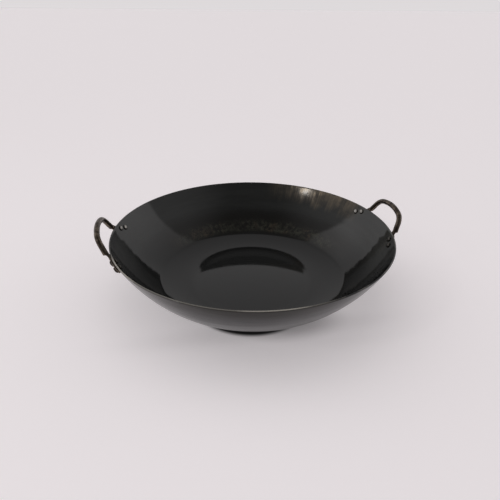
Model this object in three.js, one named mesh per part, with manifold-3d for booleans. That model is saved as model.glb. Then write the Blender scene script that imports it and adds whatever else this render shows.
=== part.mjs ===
// A two-handled deep fry pot: a pressed steel bowl with two bent rod handles riveted outside its rim.
// Millimetres, +Z up. The origin is the middle of the base, on the table, and the handles lie on the X axis.

import * as THREE from 'three';
import { mergeVertices, toCreasedNormals } from 'three/addons/utils/BufferGeometryUtils.js';
import Module from 'manifold-3d';

const { degToRad, clamp, lerp, smoothstep } = THREE.MathUtils;

// Bowl
const RIM_RADIUS = 210; // outside edge of the rim
const RIM_HEIGHT = 89.3; // the same edge above the table
const RIM_SLOPE = degToRad(64); // steepness of the wall at the rim
const WALL_SLOPE = degToRad(38.2); // steepness where the wall starts, above the knuckle
const KNUCKLE = 28; // bend radius of the knuckle between the dished floor and the wall
const DISH_SLOPE = degToRad(20.2); // steepness where the dished floor ends, below the knuckle
const FLOOR_RADIUS = 92.8; // where the floor starts to climb
const FOOT_WIDTH = 2; // narrow flat ring under the floor's edge that the pot stands on
const FLOOR_RISE = 2.3; // how far the middle of the floor is pressed up inside that ring
const FOOT_ROUND = 40; // radius of the soft step between the raised floor and the ring
const SHEET = 2; // thickness of the steel

// Handles
const ROD = 8; // diameter of the bent rod
const LEG_SPREAD = 43.9; // half the distance between the two legs at the rim
const LEG_LEAN = degToRad(20.3); // how far the legs lean in towards each other
const LOOP_HEIGHT = 29.7; // from the rim to the top of the loop, along the handle's plane
const LOOP_CORNER = 20.4; // bend radius of the two upper corners
const LOOP_CROWN = 93; // radius of the slightly bowed top
const HANDLE_TILT = degToRad(63); // slope of the handle's plane

// Flattened lugs at the ends of the rod
const LUG_WIDTH = 13;
const LUG_THICK = 3.2;
const LUG_DEPTH = 5.3; // how far below the rim the rod turns aside into its lug
const LUG_DROP = degToRad(20); // how far the lug runs downhill from the rim's direction
const LUG_INSIDE_CORNER = 1; // radius left inside that turn
const LUG_MARGIN = 6.7; // from the outer rivet to the lug's round end
const SHOULDER_RISE = 3; // how far above the rim the round rod ends
const SHOULDER_POWER = 8; // how sharply it steps down there to the flat lug

// Rivets
const RIVET_FIRST = 8.8; // from the turn to the first rivet
const RIVET_PITCH = 12.9; // from the first rivet to the second
const SHANK = 5; // diameter
const HEAD = 9; // diameter
const HEAD_RISE = 2.3; // height of the domed head

// Clearances between pieces that touch
const SEAT_GAP = 0.3; // lug on wall
const HEAD_GAP = 0.4; // rivet head on sheet or lug
const HOLE_GAP = 0.3; // shank in its hole, all round
const PAD_GAP = 0.5; // bare flat of the lug around a rivet head

// Facets
const BOWL_SIDES = 80;
const ROD_SIDES = 16;
const RIVET_SIDES = 16;
const SOFT_EDGE = degToRad(30); // sharper edges stay crisp when shaded

const blackSteel = { color: 0x1d1d1c, roughness: 0.22, metalness: 0.6 };
const rodSteel = { color: 0x2b2722, roughness: 0.35, metalness: 0.8 };
const rivetSteel = { color: 0x8d8b86, roughness: 0.35, metalness: 0.9 };

const wasm = await Module();
wasm.setup();

// A closed three.js geometry as a solid that can be cut.
function toSolid(geometry) {
  const bare = geometry.clone();
  bare.deleteAttribute('normal');
  bare.deleteAttribute('uv');
  const merged = mergeVertices(bare);
  const index = merged.index.array;
  const triangles = [];
  for (let i = 0; i < index.length; i += 3) {
    const [a, b, c] = index.subarray(i, i + 3);
    if (a !== b && b !== c && c !== a) triangles.push(a, b, c);
  }
  const vertProperties = new Float32Array(merged.attributes.position.array);
  const triVerts = new Uint32Array(triangles);
  return new wasm.Manifold(new wasm.Mesh({ numProp: 3, vertProperties, triVerts }));
}

// A solid as a geometry again, shaded smooth apart from its sharp edges.
function toGeometry(solid) {
  const { vertProperties, triVerts } = solid.getMesh();
  const geometry = new THREE.BufferGeometry();
  geometry.setAttribute('position', new THREE.BufferAttribute(vertProperties, 3));
  geometry.setIndex(new THREE.BufferAttribute(triVerts, 1));
  return toCreasedNormals(geometry, SOFT_EDGE);
}

// From an arc's centre to the point where it has a slope, for a radius of 1: below the centre where level.
function spoke(slope) {
  return new THREE.Vector2(Math.sin(slope), -Math.cos(slope));
}

// Points along an arc from slope to slope, without its first point. A negative radius puts them above
// the centre.
function arc(centre, radius, from, to, steps) {
  const points = [];
  for (let i = 1; i <= steps; i++) {
    points.push(spoke(lerp(from, to, i / steps)).multiplyScalar(radius).add(centre));
  }
  return points;
}

// Points along a straight line, without its first point.
function line(from, to, steps) {
  const points = [];
  for (let i = 1; i <= steps; i++) points.push(from.clone().lerp(to, i / steps));
  return points;
}

// The outside climbs in three arcs: the dished edge of the floor, the knuckle and the wall. The two wide
// radii follow from the reach, the climb and the slopes where the arcs start and end.
const dishReach = Math.sin(DISH_SLOPE);
const dishClimb = 1 - Math.cos(DISH_SLOPE);
const wallReach = Math.sin(RIM_SLOPE) - Math.sin(WALL_SLOPE);
const wallClimb = Math.cos(WALL_SLOPE) - Math.cos(RIM_SLOPE);
const knuckleReach = KNUCKLE * (Math.sin(WALL_SLOPE) - Math.sin(DISH_SLOPE));
const knuckleClimb = KNUCKLE * (Math.cos(DISH_SLOPE) - Math.cos(WALL_SLOPE));
const reach = RIM_RADIUS - FLOOR_RADIUS - knuckleReach;
const climb = RIM_HEIGHT - knuckleClimb;
const share = dishReach * wallClimb - wallReach * dishClimb;
const dishRadius = (reach * wallClimb - climb * wallReach) / share;
const wallRadius = (climb * dishReach - reach * dishClimb) / share;
const dishCentre = new THREE.Vector2(FLOOR_RADIUS, dishRadius);
const knuckleCentre = dishCentre.clone().addScaledVector(spoke(DISH_SLOPE), dishRadius - KNUCKLE);
const wallCentre = new THREE.Vector2(RIM_RADIUS, RIM_HEIGHT).addScaledVector(spoke(RIM_SLOPE), -wallRadius);

// The floor is a shallow dome that a reverse arc brings down to the flat ring.
const footInner = FLOOR_RADIUS - FOOT_WIDTH;
const floorTilt = 2 * Math.atan(FLOOR_RISE / footInner);
const domeRadius = footInner / Math.sin(floorTilt) - FOOT_ROUND;
const domeCentre = new THREE.Vector2(0, FLOOR_RISE - domeRadius);
const footCentre = new THREE.Vector2(footInner, FOOT_ROUND);

// One face of the sheet from the middle of the floor to the rim, at a depth inwards from the outside.
function sheetFace(depth) {
  return [
    new THREE.Vector2(0, FLOOR_RISE + depth),
    ...arc(domeCentre, -domeRadius - depth, 0, -floorTilt, 3),
    ...arc(footCentre, FOOT_ROUND - depth, -floorTilt, 0, 2),
    new THREE.Vector2(FLOOR_RADIUS, depth),
    ...arc(dishCentre, dishRadius - depth, 0, DISH_SLOPE, 4),
    ...arc(knuckleCentre, KNUCKLE - depth, DISH_SLOPE, WALL_SLOPE, 3),
    ...arc(wallCentre, wallRadius - depth, WALL_SLOPE, RIM_SLOPE, 7),
  ];
}

function bowlBlank() {
  const section = [...sheetFace(0), ...sheetFace(SHEET).reverse()];
  return new THREE.LatheGeometry(section, BOWL_SIDES).rotateX(Math.PI / 2);
}

// Half of the handle's flat outline, as (across, up): the lug, the turn into the leg, the leg, the
// upper corner and the crowned top, which ends above the middle of the handle.
const legUp = new THREE.Vector2(-Math.sin(LEG_LEAN), Math.cos(LEG_LEAN));
const legIn = new THREE.Vector2(-Math.cos(LEG_LEAN), -Math.sin(LEG_LEAN));
const lugOut = new THREE.Vector2(Math.cos(LUG_DROP), -Math.sin(LUG_DROP));
const legFoot = new THREE.Vector2(LEG_SPREAD, 0);
const shoulderPoint = legFoot.clone().addScaledVector(legUp, SHOULDER_RISE);

const turnPoint = legFoot.clone().addScaledVector(legUp, -LUG_DEPTH / Math.cos(LEG_LEAN));
const turnAngle = Math.PI / 2 - LEG_LEAN - LUG_DROP;
const turnRadius = LUG_WIDTH / 2 + LUG_INSIDE_CORNER;
const turnLength = turnRadius * Math.tan(turnAngle / 2);
const turnStart = turnPoint.clone().addScaledVector(lugOut, turnLength);
const turnEnd = turnPoint.clone().addScaledVector(legUp, turnLength);
const turnCentre = turnEnd.clone().addScaledVector(legIn, -turnRadius);

const crownCentre = new THREE.Vector2(0, LOOP_HEIGHT - LOOP_CROWN);
const inset = legFoot.clone().addScaledVector(legIn, LOOP_CORNER).sub(crownCentre);
const along = inset.dot(legUp);
const straight = Math.sqrt(along ** 2 - inset.lengthSq() + (LOOP_CROWN - LOOP_CORNER) ** 2) - along;
const cornerStart = legFoot.clone().addScaledVector(legUp, straight);
const cornerCentre = cornerStart.clone().addScaledVector(legIn, LOOP_CORNER);
const crownTurn = Math.atan2(cornerCentre.x - crownCentre.x, cornerCentre.y - crownCentre.y);

const lugLength = RIVET_FIRST + RIVET_PITCH + LUG_MARGIN;
const lugTip = turnPoint.clone().addScaledVector(lugOut, lugLength);
const lugRound = LUG_WIDTH / 2;

function lugEnd() {
  // The first station is as wide as the lug is thick, so that the tip closes in a small flat.
  const first = Math.asin(LUG_THICK / LUG_WIDTH);
  const points = [];
  for (let i = 0; i <= 5; i++) {
    const roundness = lerp(first, Math.PI / 2, i / 5);
    points.push(lugTip.clone().addScaledVector(lugOut, -lugRound * (1 - Math.cos(roundness))));
  }
  return points;
}

function halfOutline() {
  const end = lugEnd();
  return [
    ...end,
    ...line(end.at(-1), turnStart, 4),
    ...arc(turnCentre, turnRadius, -LUG_DROP, LEG_LEAN - Math.PI / 2, 6),
    ...line(turnEnd, shoulderPoint, 6),
    ...line(shoulderPoint, cornerStart, 3),
    ...arc(cornerCentre, -LOOP_CORNER, LEG_LEAN - Math.PI / 2, -crownTurn, 6),
    ...arc(crownCentre, -LOOP_CROWN, -crownTurn, 0, 4),
  ];
}

// Where a point of the handle's flat outline lies in space, and which way is out from the pot there.
// across runs along the rim from the middle of the handle. Above the rim the outline lies in a sloping
// plane, and below it, where up is negative, it lies on the outside of the wall.
const legTurn = Math.asin(LEG_SPREAD / RIM_RADIUS);

function seat(across, up) {
  const side = Math.sign(across) || 1;
  const slope = RIM_SLOPE + Math.min(up, 0) / wallRadius;
  const beyondLeg = up > 0 ? 0 : (Math.abs(across) - LEG_SPREAD) / RIM_RADIUS;
  const turn = side * (legTurn + beyondLeg);
  const out = new THREE.Vector3(Math.sin(slope), 0, -Math.cos(slope));
  const point = out.clone().multiplyScalar(wallRadius);
  point.x += wallCentre.x;
  point.z += wallCentre.y;
  const axis = new THREE.Vector3(0, 0, 1);
  out.applyAxisAngle(axis, turn);
  point.applyAxisAngle(axis, turn);
  if (up > 0) {
    const plane = new THREE.Vector3(Math.sin(HANDLE_TILT), 0, -Math.cos(HANDLE_TILT));
    out.lerp(plane, smoothstep(up, 0, cornerStart.y)).normalize();
    point.x += up * Math.cos(HANDLE_TILT);
    point.y = across;
    point.z += up * Math.sin(HANDLE_TILT);
  }
  return { point, out };
}

// Width and thickness of the flattened rod at a distance from the lug's tip.
const padEnd = lugLength - RIVET_FIRST + HEAD / 2 + PAD_GAP;
const shoulder = lugLength + turnRadius * turnAngle - 2 * turnLength + turnPoint.distanceTo(shoulderPoint);

function flattened(fromTip) {
  const roundness = clamp((fromTip - padEnd) / (shoulder - padEnd), 0, 1);
  const thick = lerp(LUG_THICK, ROD, roundness ** SHOULDER_POWER);
  const fromRound = lugRound - Math.min(fromTip, lugRound);
  const tipWidth = 2 * Math.sqrt(lugRound ** 2 - fromRound ** 2);
  const wide = lerp(tipWidth, ROD, smoothstep(roundness, 0, 1));
  return { thick, wide: Math.max(wide, thick) };
}

// The handle is skinned over rings that run from one lug's tip to the other's.
function handleBlank() {
  const half = halfOutline();
  const otherHalf = half.slice(0, -1).reverse().map((p) => new THREE.Vector2(-p.x, p.y));
  const outline = [...half, ...otherHalf];
  const distances = [0];
  for (let i = 1; i < outline.length; i++) {
    distances.push(distances[i - 1] + outline[i].distanceTo(outline[i - 1]));
  }
  const whole = distances.at(-1);
  const tipStart = lugTip.distanceTo(outline[0]);
  const seats = outline.map((p) => seat(p.x, p.y));

  const vertices = [];
  seats.forEach(({ point, out }, i) => {
    const before = seats[Math.max(i - 1, 0)].point;
    const after = seats[Math.min(i + 1, seats.length - 1)].point;
    const forward = after.clone().sub(before).normalize();
    const outward = out.clone().addScaledVector(forward, -out.dot(forward)).normalize();
    const sideways = forward.clone().cross(outward);
    const fromTip = tipStart + Math.min(distances[i], whole - distances[i]);
    const { thick, wide } = flattened(fromTip);
    const centre = point.clone().addScaledVector(out, SEAT_GAP + thick / 2);
    for (let k = 0; k < ROD_SIDES; k++) {
      const angle = (2 * Math.PI * (k + 0.5)) / ROD_SIDES;
      const edge = (Math.sign(Math.sin(angle)) * (wide - thick)) / 2;
      const corner = centre.clone().addScaledVector(outward, (Math.cos(angle) * thick) / 2);
      corner.addScaledVector(sideways, (Math.sin(angle) * thick) / 2 + edge);
      vertices.push(...corner);
    }
  });

  const triangles = [];
  const last = (seats.length - 1) * ROD_SIDES;
  for (let k = 0; k < ROD_SIDES; k++) {
    const next = (k + 1) % ROD_SIDES;
    for (let ring = 0; ring < last; ring += ROD_SIDES) {
      const [a, b, c, d] = [ring + k, ring + next, ring + ROD_SIDES + next, ring + ROD_SIDES + k];
      triangles.push(a, b, c, a, c, d);
    }
    if (k > 0 && next > 0) {
      triangles.push(0, next, k);
      triangles.push(last, last + k, last + next);
    }
  }
  const geometry = new THREE.BufferGeometry();
  geometry.setAttribute('position', new THREE.Float32BufferAttribute(vertices, 3));
  geometry.setIndex(triangles);
  return geometry;
}

// Where the four rivets of one handle sit, and which way they point.
function rivetSeats() {
  const places = [];
  for (const sign of [1, -1]) {
    for (const number of [1, 2]) {
      const distance = RIVET_FIRST + (number - 1) * RIVET_PITCH;
      const spot = turnPoint.clone().addScaledVector(lugOut, distance);
      const { point, out } = seat(sign * spot.x, spot.y);
      const aim = new THREE.Quaternion().setFromUnitVectors(new THREE.Vector3(0, 1, 0), out);
      places.push({ number, point, aim });
    }
  }
  return places;
}

// A rivet along Y. Its origin is on the outside of the wall, and +Y points away from the pot.
const innerSeat = -SHEET - HEAD_GAP;
const outerSeat = SEAT_GAP + LUG_THICK + HEAD_GAP;

function rivetGeometry() {
  const domeRound = (HEAD ** 2 / 4 + HEAD_RISE ** 2) / (2 * HEAD_RISE);
  const domeEdge = Math.asin(HEAD / 2 / domeRound);
  const innerCentre = new THREE.Vector2(0, innerSeat - HEAD_RISE + domeRound);
  const outerCentre = new THREE.Vector2(0, outerSeat + HEAD_RISE - domeRound);
  const section = [
    new THREE.Vector2(0, innerSeat - HEAD_RISE),
    ...arc(innerCentre, domeRound, 0, domeEdge, 4),
    new THREE.Vector2(SHANK / 2, innerSeat),
    new THREE.Vector2(SHANK / 2, outerSeat),
    new THREE.Vector2(HEAD / 2, outerSeat),
    ...arc(outerCentre, -domeRound, -domeEdge, 0, 4),
  ];
  return new THREE.LatheGeometry(section, RIVET_SIDES);
}

// A hole through the wall and the lug together, for one rivet.
function rivetHole({ point, aim }) {
  const length = outerSeat - innerSeat + 2 * HEAD_RISE;
  const hole = new THREE.CylinderGeometry(SHANK / 2 + HOLE_GAP, SHANK / 2 + HOLE_GAP, length, RIVET_SIDES);
  hole.translate(0, (innerSeat + outerSeat) / 2, 0);
  return hole.applyQuaternion(aim).translate(point.x, point.y, point.z);
}

function namedMesh(name, geometry, finish) {
  const mesh = new THREE.Mesh(geometry, new THREE.MeshStandardMaterial(finish));
  mesh.name = name;
  return mesh;
}

const rivets = rivetSeats();
const handleTurns = { right: 0, left: Math.PI };

let bowl = toSolid(bowlBlank());
let handle = toSolid(handleBlank());
for (const rivet of rivets) {
  handle = handle.subtract(toSolid(rivetHole(rivet)));
  for (const turn of Object.values(handleTurns)) {
    bowl = bowl.subtract(toSolid(rivetHole(rivet).rotateZ(turn)));
  }
}

const pot = new THREE.Group();
pot.add(namedMesh('bowl', toGeometry(bowl), blackSteel));

for (const [side, turn] of Object.entries(handleTurns)) {
  const group = new THREE.Group();
  group.rotation.z = turn;
  group.add(namedMesh(`handle_${side}`, toGeometry(handle), rodSteel));
  for (const { number, point, aim } of rivets) {
    const end = point.y * Math.cos(turn) > 0 ? 'rear' : 'front';
    const name = `rivet_${side}_${end}_${number}`;
    const rivet = namedMesh(name, toGeometry(toSolid(rivetGeometry())), rivetSteel);
    rivet.position.copy(point);
    rivet.quaternion.copy(aim);
    group.add(rivet);
  }
  pot.add(group);
}

export default pot;
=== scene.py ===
# %% [markdown]
# # A riveted deep fry pot
# The pot is one pressed steel sheet, two handles bent from round rod and eight rivets. Its imported model is
# loaded first, so that each piece below is made in the place and at the size that it has there.

# %% Load the frame
import math

import bmesh
import bpy
from mathutils import Matrix, Vector


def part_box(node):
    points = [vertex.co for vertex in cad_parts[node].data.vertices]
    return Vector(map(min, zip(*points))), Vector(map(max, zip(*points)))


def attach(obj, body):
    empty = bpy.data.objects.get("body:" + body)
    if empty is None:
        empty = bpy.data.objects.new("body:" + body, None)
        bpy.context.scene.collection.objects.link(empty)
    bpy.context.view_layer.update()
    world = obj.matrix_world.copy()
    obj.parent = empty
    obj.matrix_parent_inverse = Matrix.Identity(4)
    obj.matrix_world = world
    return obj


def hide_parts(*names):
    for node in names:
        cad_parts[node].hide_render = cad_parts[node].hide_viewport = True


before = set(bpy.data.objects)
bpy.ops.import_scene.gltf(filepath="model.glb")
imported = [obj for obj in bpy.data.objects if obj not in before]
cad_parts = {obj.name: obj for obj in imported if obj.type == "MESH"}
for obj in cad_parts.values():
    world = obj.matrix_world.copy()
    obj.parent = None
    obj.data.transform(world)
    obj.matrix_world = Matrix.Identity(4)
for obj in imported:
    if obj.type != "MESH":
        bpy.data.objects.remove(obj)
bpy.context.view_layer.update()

scene = bpy.context.scene
print("nodes:", ", ".join(sorted(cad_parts)))

# %% [markdown]
# The camera comes first, because every later choice is judged through it. It stands where the photograph
# was taken from: a little left of the pot, looking down into it at 28 degrees and rolled by half a degree.
# The lens follows from the focal length in pixels of a picture 500 pixels wide.

# %% Camera
PICTURE_WIDTH = 500
FOCAL_PIXELS = 452.4
CAMERA_PLACE = Vector((-0.1173, -0.6068, 0.3870))
CAMERA_TARGET = Vector((-0.0153, -0.0628, 0.0892))
CAMERA_ROLL = math.radians(0.5)


def photograph_camera():
    data = bpy.data.cameras.new("camera")
    data.lens = data.sensor_width * FOCAL_PIXELS / PICTURE_WIDTH
    camera = bpy.data.objects.new("camera", data)
    scene.collection.objects.link(camera)
    aim = (CAMERA_TARGET - CAMERA_PLACE).to_track_quat("-Z", "Y").to_matrix().to_4x4()
    camera.matrix_world = Matrix.Translation(CAMERA_PLACE) @ aim @ Matrix.Rotation(CAMERA_ROLL, 4, "Z")
    scene.camera = camera
    return camera


camera = photograph_camera()
print("lens: %.1f mm" % camera.data.lens)

# %% [markdown]
# The bowl is pressed from one round sheet. Its floor is pressed up a little inside the flat ring that the
# pot stands on, and outside that ring the sheet climbs in three arcs: the dished edge of the floor, a tight
# knuckle and the wide wall. It could be traced point by point, but with a few real sizes a reader can see
# what each one does. The rim's radius and height come from the frame.

# %% Sizes of the pressing, in metres
SHEET = 0.002
RIM_SLOPE = math.radians(64)
WALL_SLOPE = math.radians(38.2)
KNUCKLE = 0.028
DISH_SLOPE = math.radians(20.2)
FLOOR_RADIUS = 0.0928
FOOT_WIDTH = 0.002
FLOOR_RISE = 0.0023
FOOT_ROUND = 0.110
RIM_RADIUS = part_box("bowl")[1].x
RIM_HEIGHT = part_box("bowl")[1].z - SHEET * math.cos(RIM_SLOPE)
print("rim: %.1f mm across, %.1f mm high" % (2000 * RIM_RADIUS, 1000 * RIM_HEIGHT))

# %% [markdown]
# The slopes where the arcs meet are known, but not the radii of the two wide arcs. They could be found by
# trial. But each arc goes out and up by its radius times a known step, so two sums give both radii, and the
# section closes at the rim whatever the sizes are.

# %% Arcs of the wall
def spoke(slope):
    """From an arc's centre to the point where it has a slope, for a radius of 1."""
    return Vector((math.sin(slope), -math.cos(slope)))


dish = spoke(DISH_SLOPE) - spoke(0)
wall = spoke(RIM_SLOPE) - spoke(WALL_SLOPE)
knuckle = KNUCKLE * (spoke(WALL_SLOPE) - spoke(DISH_SLOPE))
rest = Vector((RIM_RADIUS - FLOOR_RADIUS, RIM_HEIGHT)) - knuckle
share = dish.x * wall.y - wall.x * dish.y
DISH_RADIUS = (rest.x * wall.y - rest.y * wall.x) / share
WALL_RADIUS = (rest.y * dish.x - rest.x * dish.y) / share
DISH_CENTRE = Vector((FLOOR_RADIUS, DISH_RADIUS))
KNUCKLE_CENTRE = DISH_CENTRE + (DISH_RADIUS - KNUCKLE) * spoke(DISH_SLOPE)
WALL_CENTRE = Vector((RIM_RADIUS, RIM_HEIGHT)) - WALL_RADIUS * spoke(RIM_SLOPE)
print("arcs: dish %.0f mm, wall %.0f mm" % (1000 * DISH_RADIUS, 1000 * WALL_RADIUS))

# %% [markdown]
# The raised floor is a very flat dome, with a soft step down to the ring. A plain disc would be simpler, but
# the floor is glossy, and its slight curve gives the dark crescent that is seen in it.

# %% Arcs of the floor
FOOT_INNER = FLOOR_RADIUS - FOOT_WIDTH
FLOOR_TILT = 2 * math.atan(FLOOR_RISE / FOOT_INNER)
DOME_RADIUS = FOOT_INNER / math.sin(FLOOR_TILT) - FOOT_ROUND
DOME_CENTRE = Vector((0, FLOOR_RISE - DOME_RADIUS))
FOOT_CENTRE = Vector((FOOT_INNER, FOOT_ROUND))
print("floor: dome %.0f mm, tilted %.1f degrees at its edge" % (1000 * DOME_RADIUS, math.degrees(FLOOR_TILT)))

# %% [markdown]
# A round piece needs only its section, drawn as distance from the axis and height. It is made of straight
# lines and arcs. Bezier handles could draw them, but points at an even pitch keep the faces even as well.

# %% Lines and arcs
def line(start, end, pitch):
    """Points along a straight line, without its first point."""
    steps = max(1, round((end - start).length / pitch))
    return [start.lerp(end, i / steps) for i in range(1, steps + 1)]


def arc(centre, radius, start, end, pitch):
    """Points along an arc from slope to slope, without its first. A negative radius is above the centre."""
    steps = max(1, round(abs(radius * (end - start)) / pitch))
    slopes = [start + (end - start) * i / steps for i in range(1, steps + 1)]
    return [centre + radius * spoke(slope) for slope in slopes]


# %% [markdown]
# The sheet's section runs along the outside from the middle of the floor, over the rim and back along the
# inside. A Solidify modifier could give one face its thickness. Drawing both faces leaves room for the cut
# edge of the rim, which has its two corners broken, because a round edge is what catches the light.

# %% Section of the sheet
RING_PITCH = 0.0024
EDGE_ROUND = 0.0005
EDGE_STEPS = 4


def sheet_face(depth):
    """One face of the sheet from the middle of the floor to the rim, at a depth inwards from the outside."""
    face = [Vector((0, FLOOR_RISE + depth))]
    face += arc(DOME_CENTRE, -DOME_RADIUS - depth, 0, -FLOOR_TILT, RING_PITCH)
    face += arc(FOOT_CENTRE, FOOT_ROUND - depth, -FLOOR_TILT, 0, RING_PITCH / 4)
    face += line(face[-1], Vector((FLOOR_RADIUS, depth)), RING_PITCH / 2)
    face += arc(DISH_CENTRE, DISH_RADIUS - depth, 0, DISH_SLOPE, RING_PITCH)
    face += arc(KNUCKLE_CENTRE, KNUCKLE - depth, DISH_SLOPE, WALL_SLOPE, RING_PITCH / 2)
    top = RIM_SLOPE - EDGE_ROUND / WALL_RADIUS
    face += arc(WALL_CENTRE, WALL_RADIUS - depth, WALL_SLOPE, top, RING_PITCH)
    return face


def rim_edge():
    """The cut edge of the rim from the outside to the inside, with both corners rounded."""
    up = Vector((math.cos(RIM_SLOPE), math.sin(RIM_SLOPE)))
    inward = Vector((-math.sin(RIM_SLOPE), math.cos(RIM_SLOPE)))
    edge = []
    for corner, depth in enumerate((EDGE_ROUND, SHEET - EDGE_ROUND)):
        centre = Vector((RIM_RADIUS, RIM_HEIGHT)) + depth * inward - EDGE_ROUND * up
        for i in range(1 - corner, EDGE_STEPS + 1 - corner):
            angle = (corner + i / EDGE_STEPS) * math.pi / 2
            edge.append(centre + EDGE_ROUND * (math.sin(angle) * up - math.cos(angle) * inward))
    return edge


sheet_section = sheet_face(0) + rim_edge() + sheet_face(SHEET)[::-1]
print("section:", len(sheet_section), "points")

# %% [markdown]
# Shapes and finishes are both made of nodes here. They could be wired by hand in the node editor, but a
# script can be read and changed as text, and a few small helpers keep it short.

# %% Node helpers
NUMBER_RESULTS = ("LENGTH", "DISTANCE", "DOT_PRODUCT")


def fill(tree, made, inputs):
    """Sets inputs, by name or number, or links them to an output. A node stands for its first output."""
    for name, value in inputs.items():
        if isinstance(value, bpy.types.Node):
            value = value.outputs[0]
        if isinstance(value, bpy.types.NodeSocket):
            tree.links.new(value, made.inputs[name])
        else:
            made.inputs[name].default_value = value


def node(tree, kind, inputs=None, **settings):
    made = tree.nodes.new(kind)
    for name, value in settings.items():
        setattr(made, name, value)
    fill(tree, made, inputs or {})
    return made


def maths(tree, operation, first, second=0.0, third=0.0):
    return node(tree, "ShaderNodeMath", {0: first, 1: second, 2: third}, operation=operation)


def vectors(tree, operation, first, second=None):
    """A sum with vectors. A length, a distance or a dot product comes out as a number."""
    inputs = {0: first}
    if second is not None:
        inputs["Scale" if operation == "SCALE" else 1] = second
    made = node(tree, "ShaderNodeVectorMath", inputs, operation=operation)
    return made.outputs["Value" if operation in NUMBER_RESULTS else "Vector"]


def noise(tree, place, scale, detail):
    return node(tree, "ShaderNodeTexNoise", {"Vector": place, "Scale": scale, "Detail": detail})


def count_nodes(name, tree):
    print("%s: %d nodes" % (name, len(tree.nodes)))


# %% [markdown]
# Spinning the section round could be done with the Screw modifier. Geometry Nodes are used instead, as one
# tree then serves the bowl and the rivets, and a second tree can set the rivets. Both start with named
# inputs and end with real geometry that has its material.

# %% Start and end of a tree
def new_tree(name, inputs):
    """An empty geometry tree with a geometry input and output, and more inputs by name and kind."""
    tree = bpy.data.node_groups.new(name, "GeometryNodeTree")
    tree.interface.new_socket("Geometry", in_out="INPUT", socket_type="NodeSocketGeometry")
    tree.interface.new_socket("Geometry", in_out="OUTPUT", socket_type="NodeSocketGeometry")
    for label, kind in inputs.items():
        tree.interface.new_socket(label, in_out="INPUT", socket_type=kind)
    return tree


def end_tree(tree, geometry, finish):
    real = node(tree, "GeometryNodeRealizeInstances", {"Geometry": geometry})
    dressed = node(tree, "GeometryNodeSetMaterial", {"Geometry": real, "Material": finish})
    node(tree, "NodeGroupOutput", {"Geometry": dressed})


# %% [markdown]
# Waves and marks on a pressed bowl run round its axis or up its wall. They could be unwrapped to a flat
# picture, but it is simpler to lay them in the bowl's own coordinates: the direction from the axis, and the
# way along the section, for which radius plus height is near enough. Nothing then has a seam.

# %% Bowl coordinates
def bowl_place(tree, place):
    parts = node(tree, "ShaderNodeSeparateXYZ", {0: place}).outputs
    flat = node(tree, "ShaderNodeCombineXYZ", {"X": parts["X"], "Y": parts["Y"]})
    radius = vectors(tree, "LENGTH", flat)
    return {
        "radius": radius,
        "height": parts["Z"],
        "around": vectors(tree, "NORMALIZE", flat),
        "along": maths(tree, "ADD", radius, parts["Z"]),
    }


# %% [markdown]
# A press leaves shallow waves in the wall, long round the bowl and short up the wall. They move it by about
# a tenth of a millimetre at most, and show only in reflections. A bump in the finish could fake them, but
# moved points also show in the exported model. They fade out near the floor.

# %% Waves of the wall
WAVES_ROUND = 5.0
WAVES_FROM, WAVES_FULL = 0.004, 0.020
WALL_MIDDLE = (0, 0, 0.25)


def wall_waves(tree, source):
    """How far each point moves, away from a middle point above the bowl or towards it."""
    position = node(tree, "GeometryNodeInputPosition")
    spot = bowl_place(tree, position)
    along = maths(tree, "DIVIDE", spot["along"], source["Wave Length"])
    lift = node(tree, "ShaderNodeCombineXYZ", {"Z": along})
    spread = vectors(tree, "SCALE", spot["around"], WAVES_ROUND)
    waves = noise(tree, vectors(tree, "ADD", spread, lift), 1.0, 1.0)
    height = maths(tree, "MULTIPLY", maths(tree, "SUBTRACT", waves, 0.5), source["Wave Height"])
    fade = node(tree, "ShaderNodeMapRange", {"Value": spot["height"], 1: WAVES_FROM, 2: WAVES_FULL})
    outward = vectors(tree, "NORMALIZE", vectors(tree, "SUBTRACT", position, WALL_MIDDLE))
    return vectors(tree, "SCALE", outward, maths(tree, "MULTIPLY", height, fade))


# %% [markdown]
# The tree sweeps the section along a tiny circle round the axis, which is what a lathe does. The circle's
# size is taken off the section again. Points that meet on the axis are merged, so that the piece is closed.

# %% Sweeping a section
HUB = 0.001
SAME_POINT = 1e-6


def swept_section(tree, source):
    circle = node(tree, "GeometryNodeCurvePrimitiveCircle", {"Resolution": source["Sides"], "Radius": HUB})
    path = node(tree, "GeometryNodeSetCurveNormal", {"Curve": circle}, mode="Z_UP")
    section = node(tree, "GeometryNodeTransform", {
        "Geometry": source["Geometry"], "Translation": (-HUB, 0, 0), "Scale": (1, -1, 1)})
    swept = node(tree, "GeometryNodeCurveToMesh", {"Curve": path, "Profile Curve": section})
    closed = node(tree, "GeometryNodeMergeByDistance", {"Geometry": swept, "Distance": SAME_POINT})
    return node(tree, "GeometryNodeFlipFaces", {"Mesh": closed})


# %% [markdown]
# The rest of the tree adds the waves and keeps two numbers for the finishes: which faces look up, because
# only the inside of the bowl is coated, and how far each point is from the axis, which the rivets need. A
# vertex group could hold a number for each point, but not for each face.

# %% Revolving tree
def stored(tree, geometry, name, value, domain):
    """The geometry with a number kept on each of its points or faces, for a finish to read."""
    inputs = {"Geometry": geometry, "Name": name, "Value": value}
    settings = {"data_type": "FLOAT", "domain": domain}
    return node(tree, "GeometryNodeStoreNamedAttribute", inputs, **settings)


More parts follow.
